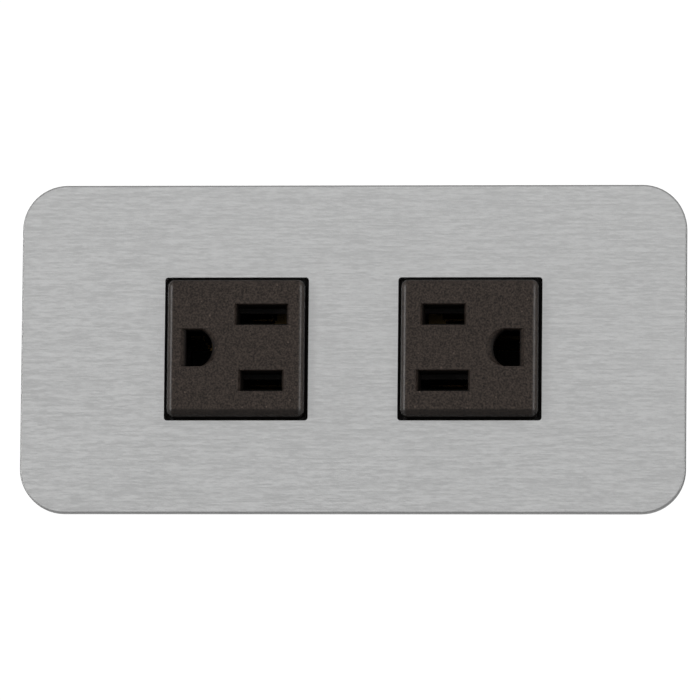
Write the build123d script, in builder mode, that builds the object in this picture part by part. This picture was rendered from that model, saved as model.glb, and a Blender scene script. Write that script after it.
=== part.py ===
"""Duplex wall outlet laid on its side: two grounded receptacle modules snapped into one steel yoke,
a moulded spacer frame screwed to the yoke, and a flat stainless plate that presses on with four studs.

Millimetres. The origin is the middle of the plate's footprint on the finished wall, +X to the right,
+Z up and +Y into the wall, so every face looks along -Y. A "level" is a height in front of the wall;
negative levels lie inside the wall box.
"""

import os

from build123d import *

os.makedirs("parts", exist_ok=True)

# Face plate
plate_w = 127.0
plate_h = 63.0
plate_t = 2.0
plate_corner_r = 8.5
plate_edge_r = 0.3
opening = 27.5
opening_corner_r = 0.6
pitch = 44.6

# Spacer frame behind the plate
plate_back = 4.0
spacer_inset = 2.5
notch_w = 12.0

# Clearances
face_gap = 0.65
body_swell = 0.1
body_gap = 0.2
fit_gap = 0.05
thread_gap = 0.03

# Receptacle module
face_proud = 2.4
face_edge_r = 1.3
boss_corner_r = 1.35
flange_t = 2.0
flange_lip = 1.35
body_joint = -11.0
body_back = -22.5
face_wall = 3.2
lead_in = 1.0
guide_depth = 6.5
guide_t = 1.2
guide_w = 2.0

# Blade and ground holes, measured in one module's own axes; guides steer the blades at depth
blade_x = 4.95
blade_y = 6.35
ground_x = blade_x - 11.89
slot_w = 3.85
slot_mouth_w = 4.15
hot_slot = 7.8
hot_mouth = 8.75
neutral_slot = 9.4
neutral_mouth = 10.35
ground_flat = ground_x - 2.66
ground_shoulder = ground_x + 0.34
ground_tip = ground_x + 2.49
ground_half = 3.5
ground_mouth_flat = ground_x - 3.56
ground_mouth_tip = ground_x + 3.67
ground_mouth_half = 3.67

# Yoke
yoke_t = 1.2
yoke_margin = 3.2
ear_half_h = 8.0
ear_margin = 4.95
box_screw_room = 4.9
frame_screw_step = 6.75
tab_half_w = 5.0

# Contacts
leaf_t = 0.7
leaf_w = 7.0
leaf_top = -1.2
web_level = body_joint - 0.4
strap_t = 0.8
ground_web = -15.2
pin_leaf_top = -2.5
pin_stop_top = -13.1
pin_stop_low = -14.6
pin_stop_half = 2.2
pin_stop_leg = 0.8

# Screws
terminal_level = -16.5
terminal_r = 2.085
terminal_head_r = 3.2
terminal_head_h = 2.0
clamp_size = 8.0
clamp_t = 1.0
box_screw_r = 1.75
box_head_r = 3.5
box_screw_end = -24.2
neck_r = 1.5
thread_start = -0.55
retainer_t = 0.45
frame_screw_r = 1.42
frame_head_r = 2.35
stud_r = 1.5
assembly_r = 1.0
assembly_head_r = 1.7

# Sizes that follow from the ones above
face_level = plate_back + plate_t + face_proud
boss = opening - 2 * face_gap
flange = boss + 2 * flange_lip
body = boss + 2 * body_swell
half = body / 2
window = body + 2 * body_gap
spacer_w = plate_w - 2 * spacer_inset
spacer_h = plate_h - 2 * spacer_inset
box_screw_x = (pitch + flange) / 2 + box_screw_room
frame_screw_x = box_screw_x + frame_screw_step
ear_end = frame_screw_x + ear_margin
rivet_y = flange / 2 + 2.2
yoke_half_h = rivet_y + yoke_margin
window_half_w = frame_screw_x - 4.4
window_half_h = yoke_half_h + 3.0
stud_x = spacer_w / 2 - 7.0
stud_z = spacer_h / 2 - 8.0
guide_top = face_level - guide_depth
pocket_top = guide_top - guide_t
pocket_x0 = blade_x - 5.5
pocket_x1 = blade_x + 5.5
pocket_y0 = blade_y - 2.75
pocket_y1 = blade_y + 2.85
ground_pocket_top = face_level - face_wall
ground_pocket_x0 = ground_x - 3.96
ground_pocket_x1 = ground_x + 3.74
plate_y = half - 3.2
recess_y = plate_y - 0.4
clamp_y = plate_y + leaf_t / 2 + fit_gap
head_y = clamp_y + clamp_t
assembly_xy = half - 1.9
leaf_waist = leaf_top - 2.7
leaf_root = leaf_waist - 2.3
strap_x = ground_x + 1.84
strap_y = half - 0.9

wall = Plane(origin=(0, 0, 0), x_dir=(1, 0, 0), z_dir=(0, -1, 0))
seats = {
    "left": Plane(origin=(-pitch / 2, 0, 0), x_dir=(1, 0, 0), z_dir=(0, -1, 0)),
    "right": Plane(origin=(pitch / 2, 0, 0), x_dir=(-1, 0, 0), z_dir=(0, -1, 0)),
}


def block(seat, x0, x1, y0, y1, low, high, mode=Mode.ADD):
    """A rectangular block between two levels, its sides given along the seat's own axes."""
    with BuildSketch(seat.offset(low)) as outline:
        with Locations(((x0 + x1) / 2, (y0 + y1) / 2)):
            Rectangle(abs(x1 - x0), abs(y1 - y0))
    extrude(outline.sketch, amount=high - low, mode=mode)


def disc(plane, spots, radius, low, high, mode=Mode.ADD):
    """Round bars or bores at one or more spots, between two heights over a plane."""
    with BuildSketch(plane.offset(low)) as circles:
        with Locations(*spots):
            Circle(radius)
    extrude(circles.sketch, amount=high - low, mode=mode)


def strip(seat, x0, x1, points, thickness, bend):
    """A strip bent along a path of (y, level) points, as wide as the gap between x0 and x1."""
    edge_on = Plane(
        origin=seat.from_local_coords(Vector(x0, 0, 0)), x_dir=seat.y_dir, z_dir=seat.x_dir
    )
    with BuildSketch(edge_on) as profile:
        with BuildLine():
            FilletPolyline(*points, radius=bend)
        trace(line_width=thickness)
    extrude(profile.sketch, amount=x1 - x0)


def ground_outline(plane, flat, shoulder, tip, half_width):
    """The D of a ground hole: straight up to its shoulders, round on the side facing the blades."""
    with BuildSketch(plane) as outline:
        with BuildLine():
            Polyline(
                (shoulder, half_width),
                (flat, half_width),
                (flat, -half_width),
                (shoulder, -half_width),
            )
            ThreePointArc((shoulder, -half_width), (tip, 0), (shoulder, half_width))
        make_face()
    return outline.sketch


def sideways(seat, side, x, level):
    """The plane across a terminal screw: its normal points out of the module on the given side."""
    return Plane(
        origin=seat.from_local_coords(Vector(x, 0, level)),
        x_dir=seat.x_dir,
        z_dir=seat.y_dir * side,
    )


def save(part, name):
    part.label = name
    export_step(part, f"parts/{name}.step")


# Face plate: flat stainless sheet, two square openings, edges just broken
with BuildPart() as face_plate:
    with BuildSketch(wall.offset(plate_back)):
        RectangleRounded(plate_w, plate_h, plate_corner_r)
        with GridLocations(pitch, 1, 2, 1):
            RectangleRounded(opening, opening, opening_corner_r, mode=Mode.SUBTRACT)
    extrude(amount=plate_t)
    plate_front = face_plate.faces().sort_by(Axis.Y)[0]
    fillet(plate_front.outer_wire().edges(), plate_edge_r)
save(face_plate.part, "face_plate")

# Four studs welded to the back of the plate
with BuildPart() as plate_studs:
    stud_spots = [(x, z) for x in (-stud_x, stud_x) for z in (-stud_z, stud_z)]
    disc(wall, stud_spots, stud_r, 0.8, plate_back)
    disc(wall, stud_spots, stud_r + 0.6, plate_back - 0.4, plate_back)
    chamfer(plate_studs.edges().group_by(Axis.Y)[-1], 0.4)
save(plate_studs.part, "plate_studs")

# Split spring rings that grip the studs
with BuildPart() as stud_grips:
    disc(wall, stud_spots, stud_r + 0.93, 1.0, 2.6)
    disc(wall, stud_spots, stud_r + thread_gap, 1.0, 2.6, mode=Mode.SUBTRACT)
    for x, z in stud_spots:
        block(wall, x, x - 3.0 * x / abs(x), z - 0.4, z + 0.4, 1.0, 2.6, mode=Mode.SUBTRACT)
save(stud_grips.part, "stud_grips")

# Spacer frame: moulded ring between wall and plate, with pockets for ears, screws and studs
with BuildPart() as spacer_frame:
    with BuildSketch(wall):
        RectangleRounded(spacer_w, spacer_h, plate_corner_r - spacer_inset + 0.5)
        RectangleRounded(2 * window_half_w, 2 * window_half_h, 2.0, mode=Mode.SUBTRACT)
        with Locations((-box_screw_x, 0), (box_screw_x, 0)):
            Circle(box_head_r + 0.3, mode=Mode.SUBTRACT)
    extrude(amount=plate_back)
    ear_room = ear_end + fit_gap
    ear_room_h = ear_half_h + fit_gap
    block(wall, -ear_room, ear_room, -ear_room_h, ear_room_h, 0, yoke_t, mode=Mode.SUBTRACT)
    frame_spots = [(-frame_screw_x, 0), (frame_screw_x, 0)]
    disc(wall, frame_spots, frame_screw_r + 0.08, 0, plate_back, mode=Mode.SUBTRACT)
    disc(wall, frame_spots, frame_head_r + 0.1, 2.4, plate_back, mode=Mode.SUBTRACT)
    disc(wall, stud_spots, stud_r + 0.95, 1.0, plate_back, mode=Mode.SUBTRACT)
    disc(wall, stud_spots, stud_r + 0.2, 0.4, 1.0, mode=Mode.SUBTRACT)
    notch_z = spacer_h / 2
    block(
        wall, -notch_w / 2, notch_w / 2, -notch_z - 1, 1.2 - notch_z, 2.6, plate_back,
        mode=Mode.SUBTRACT,
    )
save(spacer_frame.part, "spacer_frame")

# Two small screws hold the spacer frame to the yoke's ears
with BuildPart() as frame_screws:
    disc(wall, frame_spots, frame_screw_r, -1.0, 2.4)
    disc(wall, frame_spots, frame_head_r, 2.4, 3.8)
    for x, z in frame_spots:
        block(wall, x - 3, x + 3, z - 0.35, z + 0.35, 3.1, 3.8, mode=Mode.SUBTRACT)
save(frame_screws.part, "frame_screws")

# Yoke: one steel stamping with two windows, two ears and a tab bent back for the ground screw
with BuildPart() as yoke:
    with BuildSketch(wall):
        RectangleRounded(pitch + window + 2 * 2.3, 2 * yoke_half_h, 2.0)
        RectangleRounded(2 * ear_end, 2 * ear_half_h, 1.5)
        with GridLocations(pitch, 1, 2, 1):
            RectangleRounded(window, window, 1.4, mode=Mode.SUBTRACT)
        with Locations((-box_screw_x, 0), (box_screw_x, 0)):
            SlotOverall(6.4, 4.4, mode=Mode.SUBTRACT)
        with Locations(*frame_spots):
            Circle(frame_screw_r + thread_gap, mode=Mode.SUBTRACT)
        for turn in (1, -1):
            with Locations((turn * (strap_x - pitch / 2), turn * rivet_y)):
                Circle(1.25, mode=Mode.SUBTRACT)
        with Locations((0, yoke_half_h)):
            Rectangle(2 * tab_half_w + 2, 8.0, mode=Mode.SUBTRACT)
    extrude(amount=yoke_t)
    tab_z = yoke_half_h - 1.6
    strip(
        wall,
        -tab_half_w,
        tab_half_w,
        [(yoke_half_h - 5.0, yoke_t / 2), (tab_z, yoke_t / 2), (tab_z, -12.5)],
        yoke_t,
        1.2,
    )
    tab_face = sideways(wall, 1, 0, -7.0)
    disc(tab_face, [(0, 0)], terminal_r + thread_gap, tab_z - 2, tab_z + 2, mode=Mode.SUBTRACT)
save(yoke.part, "yoke")

# Two long screws that hold the yoke to the wall box: a plain neck runs through the yoke, and a
# square of fibre round the neck keeps each screw in place
for name, x in (("left", -box_screw_x), ("right", box_screw_x)):
    with BuildPart() as box_screw:
        disc(wall, [(x, 0)], box_screw_r, box_screw_end, thread_start)
        chamfer(box_screw.edges().sort_by(Axis.Y)[-1], 0.6)
        disc(wall, [(x, 0)], neck_r, thread_start, yoke_t)
        disc(wall, [(x, 0)], box_head_r, yoke_t, yoke_t + 2.0)
        fillet(box_screw.edges().sort_by(Axis.Y)[0], 0.8)
        block(wall, x - 4, x + 4, -0.5, 0.5, yoke_t + 1.0, yoke_t + 2.0, mode=Mode.SUBTRACT)
    save(box_screw.part, f"box_screw_{name}")
with BuildPart() as screw_retainers:
    for x in (-box_screw_x, box_screw_x):
        low = -fit_gap - retainer_t
        block(wall, x - 4.5, x + 4.5, -4.5, 4.5, low, -fit_gap)
        disc(wall, [(x, 0)], neck_r + fit_gap, low, -fit_gap, mode=Mode.SUBTRACT)
save(screw_retainers.part, "screw_retainers")


def clamp_plate(face, low):
    """A square pressure plate: screw hole in the middle, a wire groove on each side of it."""
    with BuildPart() as clamp:
        with BuildSketch(face.offset(low)):
            RectangleRounded(clamp_size, clamp_size, 1.0)
            Circle(terminal_r + 0.065, mode=Mode.SUBTRACT)
        extrude(amount=clamp_t)
        for x in (-3.1, 3.1):
            groove = Plane(
                origin=face.from_local_coords(Vector(x, -clamp_size, low)),
                x_dir=face.x_dir,
                z_dir=face.y_dir,
            )
            disc(groove, [(0, 0)], 0.5, 0, 2 * clamp_size, mode=Mode.SUBTRACT)
    return clamp.part


def terminal_screw(face, tip, under_head):
    """A slotted pan-head screw whose axis is the face's normal."""
    with BuildPart() as screw:
        disc(face, [(0, 0)], terminal_r, tip, under_head)
        top = under_head + terminal_head_h
        disc(face, [(0, 0)], terminal_head_r, under_head, top)
        block(face, -4, 4, -0.5, 0.5, top - 1.0, top, mode=Mode.SUBTRACT)
    return screw.part


# Ground screw and its clamp on the yoke's tab
tab_out = tab_z + yoke_t / 2 + fit_gap
save(clamp_plate(tab_face, tab_out), "ground_clamp")
save(terminal_screw(tab_face, tab_out - 6.0, tab_out + clamp_t), "ground_screw")


def front_shell(seat):
    """The moulded front half: face, flange that stops on the yoke, body and two snap arms."""
    with BuildPart() as shell:
        with BuildSketch(seat.offset(body_joint)):
            RectangleRounded(body, body, 1.2)
        extrude(amount=yoke_t - body_joint)
        with BuildSketch(seat.offset(yoke_t)):
            RectangleRounded(flange, flange, 1.6)
        extrude(amount=flange_t)
        with BuildSketch(seat.offset(yoke_t + flange_t)):
            RectangleRounded(boss, boss, boss_corner_r)
        extrude(amount=face_level - yoke_t - flange_t)
        fillet(shell.faces().sort_by(Axis.Y)[0].outer_wire().edges(), face_edge_r)

        for side, slot, mouth in ((1, neutral_slot, neutral_mouth), (-1, hot_slot, hot_mouth)):
            with BuildSketch(seat.offset(face_level)) as slot_mouth:
                with Locations((blade_x, side * blade_y)):
                    Rectangle(mouth, slot_mouth_w)
            with BuildSketch(seat.offset(face_level - lead_in)) as slot_throat:
                with Locations((blade_x, side * blade_y)):
                    Rectangle(slot, slot_w)
            loft([slot_mouth.sketch, slot_throat.sketch], mode=Mode.SUBTRACT)
            extrude(slot_throat.sketch, amount=lead_in - guide_depth, mode=Mode.SUBTRACT)
            block(
                seat, blade_x - slot / 2, blade_x + slot / 2, side * blade_y - guide_w / 2,
                side * blade_y + guide_w / 2, pocket_top, guide_top, mode=Mode.SUBTRACT,
            )
            block(
                seat, pocket_x0, pocket_x1, side * pocket_y0, side * pocket_y1,
                body_joint, pocket_top, mode=Mode.SUBTRACT,
            )

        mouth_face = ground_outline(
            seat.offset(face_level),
            ground_mouth_flat,
            ground_mouth_tip - ground_mouth_half,
            ground_mouth_tip,
            ground_mouth_half,
        )
        throat_face = ground_outline(
            seat.offset(face_level - lead_in), ground_flat, ground_shoulder, ground_tip, ground_half
        )
        loft([mouth_face, throat_face], mode=Mode.SUBTRACT)
        extrude(throat_face, amount=-face_wall, mode=Mode.SUBTRACT)
        block(
            seat, ground_pocket_x0, ground_pocket_x1, -4.6, 4.6, body_joint, ground_pocket_top,
            mode=Mode.SUBTRACT,
        )

        # Pin stop: a bar hung on two legs between the ground leaves, just above their web
        stop_x0 = ground_pocket_x0 + fit_gap
        stop_x1 = ground_pocket_x1 - fit_gap
        for wall_x, leg_x in (
            (ground_pocket_x0, ground_pocket_x0 + pin_stop_leg),
            (ground_pocket_x1, ground_pocket_x1 - pin_stop_leg),
        ):
            block(
                seat, wall_x, leg_x, -pin_stop_half, pin_stop_half, body_joint, body_joint + 2.0
            )
        for stop_x, leg_x in (
            (stop_x0, ground_pocket_x0 + pin_stop_leg),
            (stop_x1, ground_pocket_x1 - pin_stop_leg),
        ):
            block(seat, stop_x, leg_x, -pin_stop_half, pin_stop_half, pin_stop_top, body_joint)
        block(
            seat, stop_x0, stop_x1, -pin_stop_half, pin_stop_half, pin_stop_low, pin_stop_top
        )

        # Outside channel for the ground strap
        block(
            seat, strap_x - 1.8, strap_x + 1.8, strap_y - 0.6, half + 0.1, body_joint, yoke_t,
            mode=Mode.SUBTRACT,
        )

        # Snap arms: rooted low in the side walls, hooked behind the yoke
        for turn in (1, -1):
            arm_in = turn * (half - 1.2)
            arm_out = turn * half
            block(
                seat, turn * (half - 1.9), turn * (half + 0.1), -4.1, 4.1, -8.0, yoke_t,
                mode=Mode.SUBTRACT,
            )
            block(seat, arm_in, arm_out, -3.5, 3.5, -8.0, -fit_gap)
            hook_side = Plane(
                origin=seat.from_local_coords(Vector(0, 3.5, 0)),
                x_dir=seat.x_dir,
                z_dir=seat.y_dir * -1,
            )
            with BuildSketch(hook_side) as hook:
                with BuildLine():
                    Polyline(
                        (arm_in, -fit_gap),
                        (arm_out + turn * 1.0, -fit_gap),
                        (arm_out + turn * 1.0, -0.9),
                        (arm_out, -3.4),
                        (arm_in, -3.4),
                        close=True,
                    )
                make_face()
            extrude(hook.sketch, amount=7.0)

        # Holes for the two assembly screws
        for turn in (1, -1):
            disc(
                seat, [(turn * assembly_xy, turn * assembly_xy)], assembly_r + thread_gap,
                body_joint, -2.5, mode=Mode.SUBTRACT,
            )
    return shell.part


def rear_shell(seat):
    """The moulded rear half: closes the contact pockets and carries the terminals in its sides."""
    with BuildPart() as shell:
        with BuildSketch(seat.offset(body_back)):
            RectangleRounded(body, body, 1.2)
        extrude(amount=body_joint - body_back)
        fillet(shell.faces().sort_by(Axis.Y)[-1].outer_wire().edges(), 0.8)
        for side in (1, -1):
            block(
                seat, blade_x - 3.75, blade_x + 4.45, side * (blade_y - 1.85), side * (plate_y + 0.5),
                web_level - 0.4, body_joint, mode=Mode.SUBTRACT,
            )
            block(
                seat, blade_x - 4.45, blade_x + 4.45, side * recess_y, side * (half + 0.1),
                body_back, web_level - 0.4, mode=Mode.SUBTRACT,
            )
            # Room under the bend where the contact's tail turns down to its terminal
            block(
                seat, blade_x - 3.75, blade_x + 4.45, side * (recess_y - 0.4), side * recess_y,
                web_level - 0.8, web_level - 0.4, mode=Mode.SUBTRACT,
            )
            screw_face = sideways(seat, side, blade_x, terminal_level)
            disc(screw_face, [(0, 0)], terminal_r + 0.2, 3.4, half, mode=Mode.SUBTRACT)
        block(
            seat, ground_pocket_x0, ground_pocket_x1, -4.6, 4.6, ground_web - 0.5, body_joint,
            mode=Mode.SUBTRACT,
        )
        block(
            seat, strap_x - 1.8, strap_x + 1.8, 4.5, half + 0.1, ground_web - 0.5, body_joint,
            mode=Mode.SUBTRACT,
        )
        corners = [(assembly_xy, assembly_xy), (-assembly_xy, -assembly_xy)]
        disc(seat, corners, assembly_r + 0.08, body_back, body_joint, mode=Mode.SUBTRACT)
        disc(
            seat, corners, assembly_head_r + 0.1, body_back, body_back + 1.4, mode=Mode.SUBTRACT
        )
    return shell.part


def blade_contact(seat, side):
    """A brass stamping: two leaves that grip the blade, a web, and a tail down to the terminal."""
    inner = side * (blade_y - 1.35)
    outer = side * (blade_y + 1.35)
    leaf_x0 = blade_x - leaf_w / 2
    leaf_x1 = blade_x + leaf_w / 2
    with BuildPart() as contact:
        strip(
            seat,
            leaf_x0,
            leaf_x1,
            [
                (side * (blade_y - 1.7), leaf_top),
                (side * (blade_y - 0.95), leaf_waist),
                (inner, leaf_root),
                (inner, web_level),
                (outer, web_level),
            ],
            leaf_t,
            0.8,
        )
        strip(
            seat,
            leaf_x0,
            leaf_x1 - 2.6,
            [
                (side * (blade_y + 1.7), leaf_top),
                (side * (blade_y + 0.95), leaf_waist),
                (outer, leaf_root),
                (outer, web_level),
                (side * blade_y, web_level),
            ],
            leaf_t,
            0.8,
        )
        strip(
            seat,
            leaf_x1 - 2.2,
            leaf_x1 + 0.7,
            [
                (side * blade_y, web_level),
                (side * plate_y, web_level),
                (side * plate_y, terminal_level),
            ],
            leaf_t,
            0.8,
        )
        block(
            seat, blade_x - 4.2, blade_x + 4.2, side * (plate_y - leaf_t / 2),
            side * (plate_y + leaf_t / 2), terminal_level - 4.5, terminal_level + 4.1,
        )
        screw_face = sideways(seat, side, blade_x, terminal_level)
        disc(
            screw_face, [(0, 0)], terminal_r + thread_gap, plate_y - 1, plate_y + 1,
            mode=Mode.SUBTRACT,
        )
    return contact.part


def ground_contact(seat):
    """The ground stamping: leaves each side of the pin and a strap up to the back of the yoke."""
    pin_leaf = [
        (-2.9, ground_web),
        (-2.9, pin_leaf_top - 7.6),
        (-2.45, pin_leaf_top - 2.8),
        (-3.3, pin_leaf_top),
    ]
    with BuildPart() as contact:
        strip(
            seat, ground_x - 3.06, strap_x + 1.5, [(2.9, ground_web), *pin_leaf], strap_t, 0.8
        )
        strip(
            seat,
            ground_x - 3.06,
            strap_x - 1.9,
            [(0, ground_web), *[(-y, level) for y, level in pin_leaf]],
            strap_t,
            0.8,
        )
        strip(
            seat,
            strap_x - 1.5,
            strap_x + 1.5,
            [
                (0, ground_web),
                (strap_y, ground_web),
                (strap_y, -strap_t / 2),
                (rivet_y + 2.0, -strap_t / 2),
            ],
            strap_t,
            0.9,
        )
        disc(seat, [(strap_x, rivet_y)], 1.25, -strap_t, 0, mode=Mode.SUBTRACT)
    return contact.part


def ground_rivet(seat):
    """The rivet through the strap's foot and the yoke."""
    with BuildPart() as rivet:
        disc(seat, [(strap_x, rivet_y)], 1.2, -strap_t, yoke_t)
        disc(seat, [(strap_x, rivet_y)], 1.9, yoke_t, yoke_t + 0.8)
        fillet(rivet.edges().sort_by(Axis.Y)[0], 0.5)
        disc(seat, [(strap_x, rivet_y)], 1.45, -strap_t - 0.7, -strap_t)
    return rivet.part


def assembly_screws(seat):
    """Two thread-forming screws, put in from the back, that close the two shells."""
    corners = [(assembly_xy, assembly_xy), (-assembly_xy, -assembly_xy)]
    with BuildPart() as screws:
        disc(seat, corners, assembly_r, body_back + 1.4, -3.0)
        disc(seat, corners, assembly_head_r, body_back + 0.1, body_back + 1.4)
        for x, y in corners:
            block(
                seat, x - 2, x + 2, y - 0.25, y + 0.25, body_back + 0.1, body_back + 0.7,
                mode=Mode.SUBTRACT,
            )
    return screws.part


for name, seat in seats.items():
    save(front_shell(seat), f"receptacle_front_{name}")
    save(rear_shell(seat), f"receptacle_rear_{name}")
    save(ground_contact(seat), f"ground_contact_{name}")
    save(ground_rivet(seat), f"ground_rivet_{name}")
    save(assembly_screws(seat), f"assembly_screws_{name}")
    for wire, side in (("neutral", 1), ("hot", -1)):
        terminal_face = sideways(seat, side, blade_x, terminal_level)
        save(blade_contact(seat, side), f"{wire}_contact_{name}")
        save(clamp_plate(terminal_face, clamp_y), f"{wire}_clamp_{name}")
        save(terminal_screw(terminal_face, head_y - 7.4, head_y), f"{wire}_screw_{name}")
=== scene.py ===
"""Duplex wall outlet: a brushed stainless plate over two black sockets, their yoke and wiring behind."""

import math

import bmesh
import bpy
import numpy as np
from mathutils import Euler, Matrix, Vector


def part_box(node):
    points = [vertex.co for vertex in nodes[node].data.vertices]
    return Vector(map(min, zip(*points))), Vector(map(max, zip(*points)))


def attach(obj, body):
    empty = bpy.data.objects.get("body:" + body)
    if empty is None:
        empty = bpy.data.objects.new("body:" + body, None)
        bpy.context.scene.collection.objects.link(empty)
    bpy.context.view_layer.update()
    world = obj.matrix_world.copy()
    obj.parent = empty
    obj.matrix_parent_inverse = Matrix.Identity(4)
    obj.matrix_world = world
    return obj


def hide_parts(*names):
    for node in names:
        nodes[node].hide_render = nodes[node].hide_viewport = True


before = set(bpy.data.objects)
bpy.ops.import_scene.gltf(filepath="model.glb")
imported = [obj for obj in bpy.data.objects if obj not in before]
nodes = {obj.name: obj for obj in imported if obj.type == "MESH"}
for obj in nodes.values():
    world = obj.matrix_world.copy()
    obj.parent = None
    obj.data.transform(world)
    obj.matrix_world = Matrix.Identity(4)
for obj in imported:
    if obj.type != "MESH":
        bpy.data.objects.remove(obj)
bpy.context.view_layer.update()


# ---------------------------------------------------------------- Face plate
# A flat 2 mm stainless sheet, blanked with two square openings. It is brushed lengthways with a
# fine abrasive belt and its edges are only just broken. It presses on, so no screw shows.


class Field:
    """A number that varies over a surface: each operator on it adds the Math node it stands for."""

    def __init__(self, finish, socket):
        self.finish = finish
        self.socket = socket

    def combine(self, operation, first, second):
        settings = {"operation": operation}
        node = self.finish.add("ShaderNodeMath", settings, {0: first, 1: second})
        return Field(self.finish, node.outputs[0])

    def __add__(self, other):
        return self.combine("ADD", self, other)

    def __radd__(self, other):
        return self.combine("ADD", other, self)

    def __sub__(self, other):
        return self.combine("SUBTRACT", self, other)

    def __mul__(self, other):
        return self.combine("MULTIPLY", self, other)

    def __pow__(self, other):
        return self.combine("POWER", self, other)

    def __abs__(self):
        return self.combine("ABSOLUTE", self, 0.0)

    def most(self, other):
        return self.combine("MAXIMUM", self, other)


class Finish:
    """One material. Every node in it is added by add(), with its settings first and its sockets after."""

    def __init__(self, name, **uniform):
        self.material = bpy.data.materials.new(name)
        self.material.use_nodes = True
        self.tree = self.material.node_tree
        self.shader = next(n for n in self.tree.nodes if n.type == "BSDF_PRINCIPLED")
        for socket, value in uniform.items():
            self.shader.inputs[socket.replace("_", " ")].default_value = value
        self.place = self.add("ShaderNodeTexCoord").outputs["Object"]

    def add(self, kind, settings=None, sockets=None):
        node = self.tree.nodes.new(kind)
        for key, value in (settings or {}).items():
            setattr(node, key, value)
        for key, value in (sockets or {}).items():
            self.feed(node.inputs[key], value)
        return node

    def feed(self, socket, value):
        if isinstance(value, Field):
            value = value.socket
        if isinstance(value, bpy.types.NodeSocket):
            self.tree.links.new(value, socket)
        else:
            socket.default_value = value

    def noise(self, sizes, detail=2.0, roughness=0.5):
        """Cloudy noise from 0 to 1 whose blotches are about sizes metres long in X, Y and Z."""
        scale = tuple(1.0 / s for s in sizes)
        mapped = self.add("ShaderNodeMapping", {}, {"Vector": self.place, "Scale": scale})
        cloud = self.add(
            "ShaderNodeTexNoise",
            {},
            {"Vector": mapped.outputs[0], "Scale": 1.0, "Detail": detail, "Roughness": roughness},
        )
        return Field(self, cloud.outputs[0])

    def specks(self, spacing, radius):
        """Round specks scattered about spacing metres apart: 1 inside a speck and 0 outside it."""
        cells = self.add(
            "ShaderNodeTexVoronoi", {}, {"Vector": self.place, "Scale": 1.0 / spacing}
        )
        return self.ramp(Field(self, cells.outputs["Distance"]), radius, radius * 0.5)

    def ramp(self, field, low, high):
        """0 where the field is at low, 1 where it is at high, and smooth in between."""
        node = self.add(
            "ShaderNodeMapRange",
            {"interpolation_type": "SMOOTHSTEP"},
            {"Value": field, "From Min": low, "From Max": high},
        )
        return Field(self, node.outputs[0])

    def blend(self, amount, first, second):
        """The first colour where amount is 0, the second where it is 1."""
        colours = [c if isinstance(c, bpy.types.NodeSocket) else (*c, 1.0) for c in (first, second)]
        node = self.add(
            "ShaderNodeMix", {"data_type": "RGBA"}, {0: amount, 6: colours[0], 7: colours[1]}
        )
        return node.outputs[2]

    def axis(self, index):
        """The X, Y or Z coordinate in metres."""
        split = self.add("ShaderNodeSeparateXYZ", {}, {0: self.place})
        return Field(self, split.outputs[index])

    def relief(self, height, depth):
        """Raises the surface by up to depth metres where height is 1."""
        bump = self.add("ShaderNodeBump", {}, {"Height": height, "Distance": depth, "Strength": 1.0})
        self.feed(self.shader.inputs["Normal"], bump.outputs[0])

    def colour(self, value):
        self.feed(self.shader.inputs["Base Color"], value if not isinstance(value, tuple) else (*value, 1.0))

    def rough(self, value):
        self.feed(self.shader.inputs["Roughness"], value)


def wear(names, finish, edge=0.0, angle=35):
    """Gives CAD nodes their finish. An edge above 0 rounds their sharp edges by that many metres."""
    for name in names:
        node = nodes[name]
        node.data.materials.clear()
        node.data.materials.append(finish.material)
        if edge:
            weld = node.modifiers.new("weld", "WELD")
            weld.merge_threshold = 2e-6
            bevel = node.modifiers.new("broken edges", "BEVEL")
            bevel.width = edge
            bevel.segments = 2
            bevel.limit_method = "ANGLE"
            bevel.angle_limit = math.radians(angle)
            bevel.harden_normals = True
            bevel.use_clamp_overlap = True


def brushed_steel():
    """Stainless: short fine scratches along X over a faint cloud, with the rim rougher and painted darker as
    painted shade.

    The rim is where the distance outside a rounded rectangle, |q| - r with q = |place| - half
    size + r on each axis, comes close to the plate's outline.
    """
    finish = Finish("brushed_plate", Metallic=1.0)
    hair = finish.noise((0.0016, 0.004, 0.00030), 3.0, 0.65)
    strand = finish.noise((0.0060, 0.004, 0.00040), 2.0, 0.5)
    cloud = finish.noise((0.03, 0.03, 0.012), 1.0, 0.5)
    lines = finish.ramp(hair * 0.6 + strand * 0.4, 0.34, 0.66)
    metal = finish.blend(lines * 0.85 + cloud * 0.15, (0.486, 0.489, 0.488), (0.598, 0.601, 0.600))
    half_width = 0.0635
    half_height = 0.0315
    corner = 0.0085
    across = (abs(finish.axis(0)) - (half_width - corner)).most(0.0)
    up = (abs(finish.axis(2)) - (half_height - corner)).most(0.0)
    outside = (across**2 + up**2) ** 0.5 - corner
    rim_inner = -0.0004
    rim_outer = -0.0002
    rim = finish.ramp(outside, rim_inner, rim_outer)
    # Painted shade: the rim's colour falls to a darker grey, so the plate's outline shows no bright edge
    # highlight.
    finish.colour(finish.blend(rim, metal, (0.30, 0.30, 0.30)))
    finish.rough(0.33 + lines * 0.12 + rim * 0.12)
    finish.relief(lines, 0.000006)
    return finish


plate_finish = brushed_steel()
wear(["face_plate"], plate_finish)

# ---------------------------------------------------------------- Socket faces
# Each socket's front is one black moulding. The tool was spark eroded, which leaves a fine matt
# grain; its few pale specks are painted highlights and its small pits are painted dark as painted
# shade. Handling polishes the upright rims of the face, while the lower rim and the walls of the
# holes are painted darker as painted shade.


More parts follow.
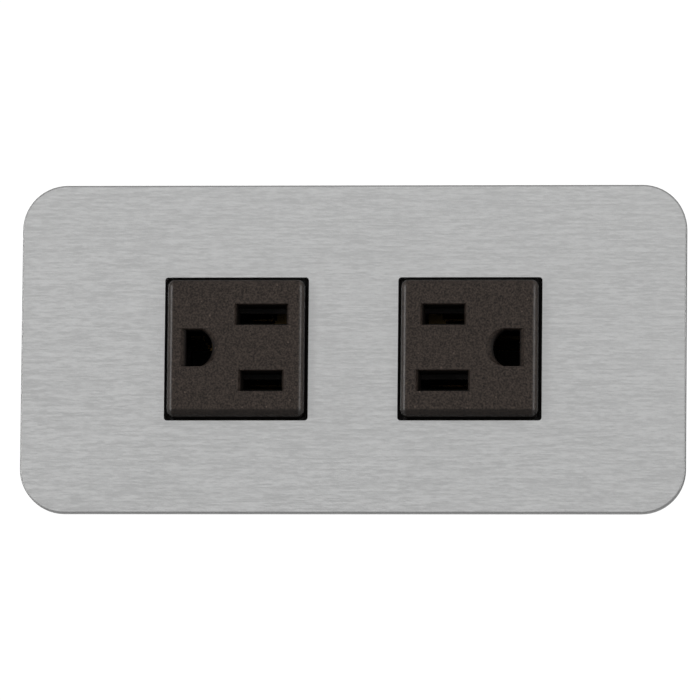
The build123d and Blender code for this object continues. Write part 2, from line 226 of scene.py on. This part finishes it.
def moulded_black(name, dark, light, grain, pits, glints, shade=None):
    """Black plastic: a mottled matt grain, with small pits painted dark as painted shade and a few pale
    specks as painted highlights.

    Where shade, a function of the finish, gives 1, the colour falls to half the dark one.
    """
    finish = Finish(name, IOR=1.45, Specular_IOR_Level=0.2)
    blotch = finish.ramp(finish.noise((grain * 2.5,) * 3, 2.0, 0.5), 0.35, 0.65)
    mottle = finish.ramp(finish.noise((grain,) * 3, 3.0, 0.6), 0.36, 0.64) * 0.75 + blotch * 0.25
    pit = finish.specks(grain * 2.6, 0.16)
    glint = finish.specks(grain * 5.5, 0.11)
    base = finish.blend(mottle, dark, light)
    # Painted shade: the pits' colour falls close to black.
    base = finish.blend(pit * pits, base, tuple(0.15 * c for c in dark))
    # Painted highlights: a few specks are lifted well above the light colour.
    base = finish.blend(glint * glints, base, tuple(3.2 * c for c in light))
    if shade:
        # Painted shade on the hole walls and the lower rim.
        base = finish.blend(shade(finish), base, tuple(0.5 * c for c in dark))
    finish.colour(base)
    finish.rough(0.5 + mottle * 0.12)
    finish.relief(mottle + glint * glints - pit * pits, 0.000012)
    return finish


face_level = -0.0084
rim_start = 0.0119
socket_middle = 0.0223


def face_shade(finish):
    """Painted shade: 1 on walls a millimetre or more behind the face, and 0.75 on its lower rim."""
    walls = finish.ramp(finish.axis(1), face_level + 0.0004, face_level + 0.0010)
    lower_rim = finish.ramp(finish.axis(2), 0.0003 - rim_start, -0.0002 - rim_start)
    return walls.most(lower_rim * 0.75)


face_finish = moulded_black(
    "socket_face", (0.0085, 0.0058, 0.0045), (0.0430, 0.0322, 0.0262), 0.00038, 0.9, 0.35, face_shade
)
from_middle = abs(abs(face_finish.axis(0)) - socket_middle)
inner_edge = face_finish.ramp(from_middle, rim_start, rim_start + 0.0004)
outer_edge = face_finish.ramp(from_middle, rim_start + 0.0011, rim_start + 0.0006)
face_finish.feed(face_finish.shader.inputs["Coat Weight"], inner_edge * outer_edge * 0.5)
face_finish.shader.inputs["Coat Roughness"].default_value = 0.35
wear(["receptacle_front_left", "receptacle_front_right"], face_finish)

# ---------------------------------------------------------------- Rear shells and spacer frame
# The rear halves and the spacer frame are plainer mouldings in the same black, straight from a
# polished tool, with softly rounded edges.

# Their pits carry a little painted shade, and their few pale specks are painted highlights.
shell_finish = moulded_black("shell", (0.014, 0.0130, 0.0125), (0.022, 0.021, 0.020), 0.0008, 0.3, 0.08)
wear(["receptacle_rear_left", "receptacle_rear_right"], shell_finish, 0.00025)
spacer_finish = moulded_black("spacer", (0.017, 0.017, 0.0165), (0.027, 0.027, 0.026), 0.0007, 0.3, 0.08)
wear(["spacer_frame"], spacer_finish, 0.00025)


# ---------------------------------------------------------------- Yoke
# The yoke is stamped from galvanised strip: the zinc shows as soft grey crystals, dulled and
# lightly scratched, and the blanked edges are rounded over.


def zinc(name, crystal, dark, light):
    """Zinc coat: patches of grey crystals with fine scratches and slightly different dullness."""
    finish = Finish(name, Metallic=1.0)
    cells = finish.add("ShaderNodeTexVoronoi", {}, {"Vector": finish.place, "Scale": 1 / crystal})
    patch = Field(finish, finish.add("ShaderNodeSeparateColor", {}, {0: cells.outputs["Color"]}).outputs[0])
    haze = finish.noise((crystal * 0.5,) * 3, 3.0, 0.6)
    scratch = finish.ramp(finish.noise((0.006, 0.0004, 0.0004), 2.0), 0.60, 0.72)
    finish.colour(finish.blend(patch * 0.5 + haze * 0.5, dark, light))
    finish.rough(0.34 + haze * 0.18 - scratch * 0.08)
    finish.relief(haze + patch * 0.3 + scratch, 0.000008)
    return finish


yoke_finish = zinc("yoke_zinc", 0.0022, (0.40, 0.41, 0.42), (0.58, 0.59, 0.60))
wear(["yoke"], yoke_finish, 0.00012)

# ---------------------------------------------------------------- Contacts and rivets
# Hard-rolled brass strip, blanked and folded. The rolling marks run along the strip and the metal
# has darkened a little unevenly.


def rolled(name, dark, light, rough, grain=(0.0003, 0.004, 0.0003), blade_end_shade=0.0):
    """Rolled strip: fine lines along Y, cloudy tarnish and a slight difference in dullness.

    The blades' end of a contact, in front of Y = 12 mm, is painted near black by the share given: painted
    shade deep in the socket holes.
    """
    finish = Finish(name, Metallic=1.0)
    lines = finish.noise(grain, 2.0)
    tarnish = finish.ramp(finish.noise((0.004, 0.004, 0.004), 4.0, 0.6), 0.3, 0.7)
    strip = finish.blend(lines * 0.4 + tarnish * 0.6, dark, light)
    # Painted shade: the blade end's colour falls to a near black brown.
    painted_blade_shade = finish.ramp(finish.axis(1), 0.0130, 0.0110) * blade_end_shade
    finish.colour(finish.blend(painted_blade_shade, strip, (0.05, 0.035, 0.02)))
    finish.rough(rough + tarnish * 0.12)
    finish.relief(lines, 0.000005)
    return finish


# The contacts' blade ends are painted near black as painted shade inside the socket holes.
brass_finish = rolled("contact_brass", (0.46, 0.30, 0.11), (0.72, 0.51, 0.22), 0.24, blade_end_shade=0.75)
for side in ("left", "right"):
    wear([f"{wire}_contact_{side}" for wire in ("hot", "neutral", "ground")], brass_finish)
    wear([f"ground_rivet_{side}"], brass_finish)

# ---------------------------------------------------------------- Clamps, grips, studs, retainers
# Small trim: plated pressure plates with wire grooves, spring-wire rings, weld studs and two
# squares of red-brown vulcanised fibre.

clamp_finish = zinc("clamp_zinc", 0.0012, (0.42, 0.42, 0.41), (0.60, 0.60, 0.58))
wear(
    ["ground_clamp"] + [f"{wire}_clamp_{side}" for wire in ("hot", "neutral") for side in ("left", "right")],
    clamp_finish,
    0.0001,
)
wear(["stud_grips"], rolled("spring_wire", (0.30, 0.30, 0.31), (0.42, 0.42, 0.43), 0.3))
wear(["plate_studs"], rolled("stud_steel", (0.42, 0.42, 0.42), (0.56, 0.56, 0.55), 0.3))


def pressed_fibre():
    """Vulcanised fibre: matted strands in two lengths, matt, with a soft surface."""
    finish = Finish("fibre")
    mat = finish.noise((0.0012, 0.0012, 0.0003), 4.0, 0.65)
    strand = finish.ramp(finish.noise((0.0003, 0.003, 0.0018), 3.0), 0.45, 0.7)
    finish.colour(finish.blend(mat * 0.7 + strand * 0.3, (0.30, 0.10, 0.05), (0.50, 0.22, 0.12)))
    finish.rough(0.78 + mat * 0.1)
    finish.relief(mat + strand, 0.00002)
    return finish


wear(["screw_retainers"], pressed_fibre(), 0.00008)


# ---------------------------------------------------------------- Screws
# Cold-headed and roll-threaded. Each is one closed surface: a domed head with a cut slot, its
# rolled rim, the shank with a real helix, and a pointed-off tip.


def closed_mesh(name, grids, finish):
    """Joins grids of points into one surface, welds their shared edges and faces them outwards."""
    points = []
    faces = []
    start = 0
    for grid in grids:
        rows, cols = grid.shape[:2]
        corner = start + np.arange(rows - 1)[:, None] * cols + np.arange(cols - 1)[None, :]
        faces.append(np.stack([corner, corner + 1, corner + cols + 1, corner + cols], -1).reshape(-1, 4))
        points.append(grid.reshape(-1, 3))
        start += rows * cols
    mesh = bpy.data.meshes.new(name)
    mesh.from_pydata(np.concatenate(points).tolist(), [], np.concatenate(faces).tolist())
    work = bmesh.new()
    work.from_mesh(mesh)
    bmesh.ops.remove_doubles(work, verts=work.verts, dist=1e-6)
    bmesh.ops.dissolve_degenerate(work, edges=work.edges, dist=1e-7)
    bmesh.ops.recalc_face_normals(work, faces=work.faces)
    work.to_mesh(mesh)
    work.free()
    mesh.materials.append(finish.material)
    mesh.shade_smooth()
    mesh.set_sharp_from_angle(angle=math.radians(40))
    piece = bpy.data.objects.new(name, mesh)
    bpy.context.scene.collection.objects.link(piece)
    return piece


def screw_grids(head_r, head_h, dome, shank_r, length, lead, depth, slot_w, slot_d, neck_r=0.0, neck=0.0):
    """Two grids for one screw standing on z = 0 under its head, its axis along z, neck metres of it plain.

    The top is a grid of columns x across the head, each running y = v * sqrt(R^2 - x^2), at a
    height that falls by dome * (r / R)^2 and by slot_d inside the slot. The sides carry the top's
    rim down a profile of radii and heights; on the thread the radius is the crest less
    depth * (1 - triangle(height / lead - angle / full turn)).
    """
    rim = 0.12 * head_h
    top_r = head_r - rim
    columns = -top_r * np.cos(np.linspace(0, math.pi, 25))
    wall = 0.02 * slot_w
    edges = [s * (slot_w / 2 + e) for s in (-1, 1) for e in (wall, -wall)]
    columns = np.sort(np.concatenate([columns[np.abs(np.abs(columns) - slot_w / 2) > 3 * wall], edges]))
    v = np.linspace(-1, 1, 25)
    x = columns[:, None] * np.ones(v.size)[None, :]
    y = np.sqrt(np.maximum(top_r**2 - x**2, 0)) * v[None, :]
    in_slot = np.abs(columns) < slot_w / 2
    floor = head_h - slot_d
    height = head_h - dome * (x**2 + y**2) / head_r**2
    height = np.where(in_slot[:, None], floor, height)
    top = np.stack([x, y, height], -1)

    loop = np.concatenate([top[:, -1], top[-2::-1, 0]])
    limit = np.concatenate([in_slot, in_slot[-2::-1]])
    angle = np.arctan2(loop[:, 1], loop[:, 0])
    side = [(top_r, head_h - dome)]
    side += [
        (top_r + rim * math.sin(a), head_h - dome - rim * (1 - math.cos(a)))
        for a in np.linspace(0.3, math.pi / 2, 5)
    ]
    side += [(head_r, 0.1 * head_h), (head_r - 0.06 * head_h, 0.0)]
    side += [(neck_r, 0.0), (neck_r, -neck)] if neck else [(shank_r, 0.0)]
    heads = np.array(side)
    ring_z = np.where(limit[None, :], np.minimum(heads[:, 1:], floor), heads[:, 1:])
    ring_z[0] = loop[:, 2]
    rings = np.stack(
        [heads[:, :1] * np.cos(angle), heads[:, :1] * np.sin(angle), ring_z], -1
    )
    z = np.linspace(-neck, -length, max(8, int(length / lead * 8)))
    phase = (z[:, None] / lead - angle[None, :] / (2 * math.pi)) % 1.0
    crest = 1 - np.abs(2 * phase - 1)
    runout = np.clip(np.minimum(-(z + neck) / lead, (z + length) / lead), 0, 1)[:, None]
    taper = np.clip((z + length) / (1.2 * lead), 0, 1)[:, None] ** 0.5
    radius = (shank_r - depth * (1 - crest) * runout) * (0.72 + 0.28 * taper)
    thread = np.stack(
        [radius * np.cos(angle), radius * np.sin(angle), z[:, None] * np.ones(angle.size)], -1
    )
    end = np.zeros((1, angle.size, 3))
    end[..., 2] = -length
    return [top, np.concatenate([rings, thread, end])]


def stand(grids, base, axis, across):
    """Turns grids so z follows axis and x follows across, then moves them to base."""
    up = np.array(axis, float)
    right = np.array(across, float)
    turned = np.stack([right, np.cross(up, right), up])
    return [grid @ turned + np.array(base) for grid in grids]


def plated(name, dark, light, rough):
    """Plated screw metal: faint turning rings, cloudy tarnish and tiny handling marks."""
    finish = Finish(name, Metallic=1.0)
    cloud = finish.noise((0.0015,) * 3, 3.0, 0.6)
    nick = finish.ramp(finish.noise((0.0005, 0.0002, 0.0002), 2.0), 0.62, 0.75)
    finish.colour(finish.blend(cloud, dark, light))
    finish.rough(rough + cloud * 0.14 + nick * 0.08)
    finish.relief(cloud * 0.4 - nick, 0.00001)
    return finish


zinc_screw = plated("zinc_screw", (0.42, 0.43, 0.45), (0.62, 0.62, 0.61), 0.24)
brass_screw = plated("brass_screw", (0.50, 0.33, 0.12), (0.76, 0.55, 0.25), 0.2)
nickel_screw = plated("nickel_screw", (0.52, 0.51, 0.48), (0.72, 0.71, 0.68), 0.18)
green_screw = plated("green_screw", (0.02, 0.17, 0.07), (0.05, 0.30, 0.13), 0.28)


coarse_lead = 0.00079375  # 32 threads an inch


def lowest_highest(node):
    """The corners of a CAD node's box, as arrays."""
    low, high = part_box(node)
    return np.array(low), np.array(high)


# The two long box screws stand on the yoke and reach back into the wall box.
for side in ("left", "right"):
    node = f"box_screw_{side}"
    low, high = lowest_highest(node)
    middle = (low + high) / 2
    head_h = 0.002
    base = (middle[0], low[1] + head_h, middle[2])
    grids = screw_grids(
        head_r=0.0035,
        head_h=head_h,
        dome=0.0007,
        shank_r=0.00174,
        length=high[1] - base[1],
        lead=coarse_lead,
        depth=0.0003,
        slot_w=0.001,
        slot_d=0.001,
        neck_r=0.00149,
        neck=0.00175,
    )
    piece = closed_mesh(f"box_screw_threaded_{side}", stand(grids, base, (0, -1, 0), (0, 0, 1)), zinc_screw)
    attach(piece, node)
    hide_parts(node)

# Terminal screws: brass on the hot side, nickel on the neutral side, green for the ground.
terminals = [("ground_screw", green_screw, "ground_green", 1)]
for side, turn in (("left", 1), ("right", -1)):
    terminals.append((f"hot_screw_{side}", brass_screw, "brass", -turn))
    terminals.append((f"neutral_screw_{side}", nickel_screw, "nickel", turn))
for node, finish, slot, way in terminals:
    low, high = lowest_highest(node)
    middle = (low + high) / 2
    head_h = 0.002
    top = high[2] if way > 0 else low[2]
    tip = low[2] if way > 0 else high[2]
    base = (middle[0], middle[1], top - way * head_h)
    length = abs(base[2] - tip)
    grids = screw_grids(
        head_r=0.0032,
        head_h=head_h,
        dome=0.0004,
        shank_r=0.00207,
        length=length,
        lead=coarse_lead,
        depth=0.00032,
        slot_w=0.001,
        slot_d=0.001,
    )
    piece = closed_mesh(f"{node}_threaded", stand(grids, base, (0, 0, way), (0.6, 0.8, 0)), finish)
    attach(piece, node)
    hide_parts(node)

# Small screws: two flat ones hold the spacer frame, and two per socket close its shells.
low, high = lowest_highest("frame_screws")
head_r = 0.00235
head_h = 0.0014
small = []
for x in (low[0] + head_r, high[0] - head_r):
    base = (x, low[1] + head_h, (low[2] + high[2]) / 2)
    grids = screw_grids(
        head_r=head_r,
        head_h=head_h,
        dome=0.0003,
        shank_r=0.0014,
        length=high[1] - base[1],
        lead=0.000635,
        depth=0.00022,
        slot_w=0.0007,
        slot_d=0.0007,
    )
    small += stand(grids, base, (0, -1, 0), (0, 0, 1))
piece = closed_mesh("frame_screws_threaded", small, zinc_screw)
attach(piece, "outlet")
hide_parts("frame_screws")

head_r = 0.0017
head_h = 0.0013
for side in ("left", "right"):
    node = f"assembly_screws_{side}"
    low, high = lowest_highest(node)
    pair = []
    for x, z in ((low[0] + head_r, low[2] + head_r), (high[0] - head_r, high[2] - head_r)):
        base = (x, high[1] - head_h, z)
        grids = screw_grids(
            head_r=head_r,
            head_h=head_h,
            dome=0.0003,
            shank_r=0.00099,
            length=base[1] - low[1],
            lead=0.0007,
            depth=0.00022,
            slot_w=0.0005,
            slot_d=0.0006,
        )
        pair += stand(grids, base, (0, 1, 0), (0.8, 0, 0.6))
    piece = closed_mesh(f"assembly_screws_threaded_{side}", pair, zinc_screw)
    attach(piece, "outlet")
    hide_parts(node)

# ---------------------------------------------------------------- Floor, light and camera
# A plain pale floor well below the outlet, soft light from all round, a broad front light, one
# overhead and one behind, a narrow strip to each side for the upright rims, and a long lens a
# little below and to the right of the plate's middle.

floor = bpy.data.objects.new("floor", bpy.data.meshes.new("floor"))
half_floor = 6.0
floor_z = -0.45
corners = ((-1, -1), (1, -1), (1, 1), (-1, 1))
floor.data.from_pydata(
    [(x * half_floor, y * half_floor, floor_z) for x, y in corners],
    [],
    [(0, 1, 2, 3)],
)
floor_finish = Finish("pale_floor", Roughness=0.9)
floor_cloud = floor_finish.noise((0.3, 0.3, 0.3), 3.0)
floor_finish.colour(floor_finish.blend(floor_cloud, (0.86, 0.86, 0.86), (0.90, 0.90, 0.90)))
floor.data.materials.append(floor_finish.material)
bpy.context.scene.collection.objects.link(floor)

world = bpy.data.worlds.new("studio")
bpy.context.scene.world = world
world.use_nodes = True
sky = world.node_tree
sky.nodes.clear()
out = sky.nodes.new("ShaderNodeOutputWorld")
soft = sky.nodes.new("ShaderNodeBackground")
soft.inputs["Color"].default_value = (1, 1, 1, 1)
soft.inputs["Strength"].default_value = 0.40
backdrop = sky.nodes.new("ShaderNodeBackground")
backdrop.inputs["Color"].default_value = (1, 1, 1, 1)
backdrop.inputs["Strength"].default_value = 1.05
seen = sky.nodes.new("ShaderNodeLightPath")
choose = sky.nodes.new("ShaderNodeMixShader")
sky.links.new(seen.outputs["Is Camera Ray"], choose.inputs[0])
sky.links.new(soft.outputs[0], choose.inputs[1])
sky.links.new(backdrop.outputs[0], choose.inputs[2])
sky.links.new(choose.outputs[0], out.inputs["Surface"])


def softbox(name, place, target, size, power, spread=180):
    """A rectangular light at a place, aimed at a target, closed to a spread in degrees by its grid."""
    lamp = bpy.data.lights.new(name, "AREA")
    lamp.shape = "RECTANGLE"
    lamp.size, lamp.size_y = size
    lamp.energy = power
    lamp.spread = math.radians(spread)
    light = bpy.data.objects.new(name, lamp)
    bpy.context.scene.collection.objects.link(light)
    way = np.array(target) - np.array(place)
    light.location = place
    light.rotation_euler = (
        math.atan2(math.hypot(way[0], way[1]), -way[2]),
        0,
        math.atan2(way[1], way[0]) - math.pi / 2,
    )


softbox("front_wall", (0.45, -2.9, 1.4), (0, 0, 0), (3.4, 2.4), 16.1)
softbox("overhead", (0.0, -0.2, 1.6), (0, 0, 0), (1.6, 1.2), 3.9)
softbox("left_strip", (-1.1, -0.9, 0.1), (0, 0, 0), (0.3, 1.0), 0.8, 40)
softbox("right_strip", (1.1, -0.9, 0.1), (0, 0, 0), (0.3, 1.0), 0.55, 40)
softbox("behind", (-0.9, 2.2, 1.0), (0, 0, 0), (2.0, 1.4), 30.0)

camera_data = bpy.data.cameras.new("camera")
camera = bpy.data.objects.new("camera", camera_data)
bpy.context.scene.collection.objects.link(camera)
bpy.context.scene.camera = camera
distance = 2.05
azimuth = math.radians(4.5)
elevation = math.radians(-7.5)
roll = math.radians(0.55)
aim = np.array([-0.00105, 0.0, 0.00057])
eye = aim + distance * np.array(
    [math.sin(azimuth) * math.cos(elevation), -math.cos(azimuth) * math.cos(elevation), math.sin(elevation)]
)
camera.location = eye
level = Euler((math.pi / 2 - elevation, 0, azimuth)).to_matrix()
camera.rotation_euler = (level @ Matrix.Rotation(roll, 3, "Z")).to_euler()
camera_data.sensor_width = 36.0
view_width = 0.1337
camera_data.lens = camera_data.sensor_width * distance / view_width
camera_data.clip_start = 0.01
camera_data.clip_end = 50.0

bpy.context.scene.view_settings.view_transform = "Standard"
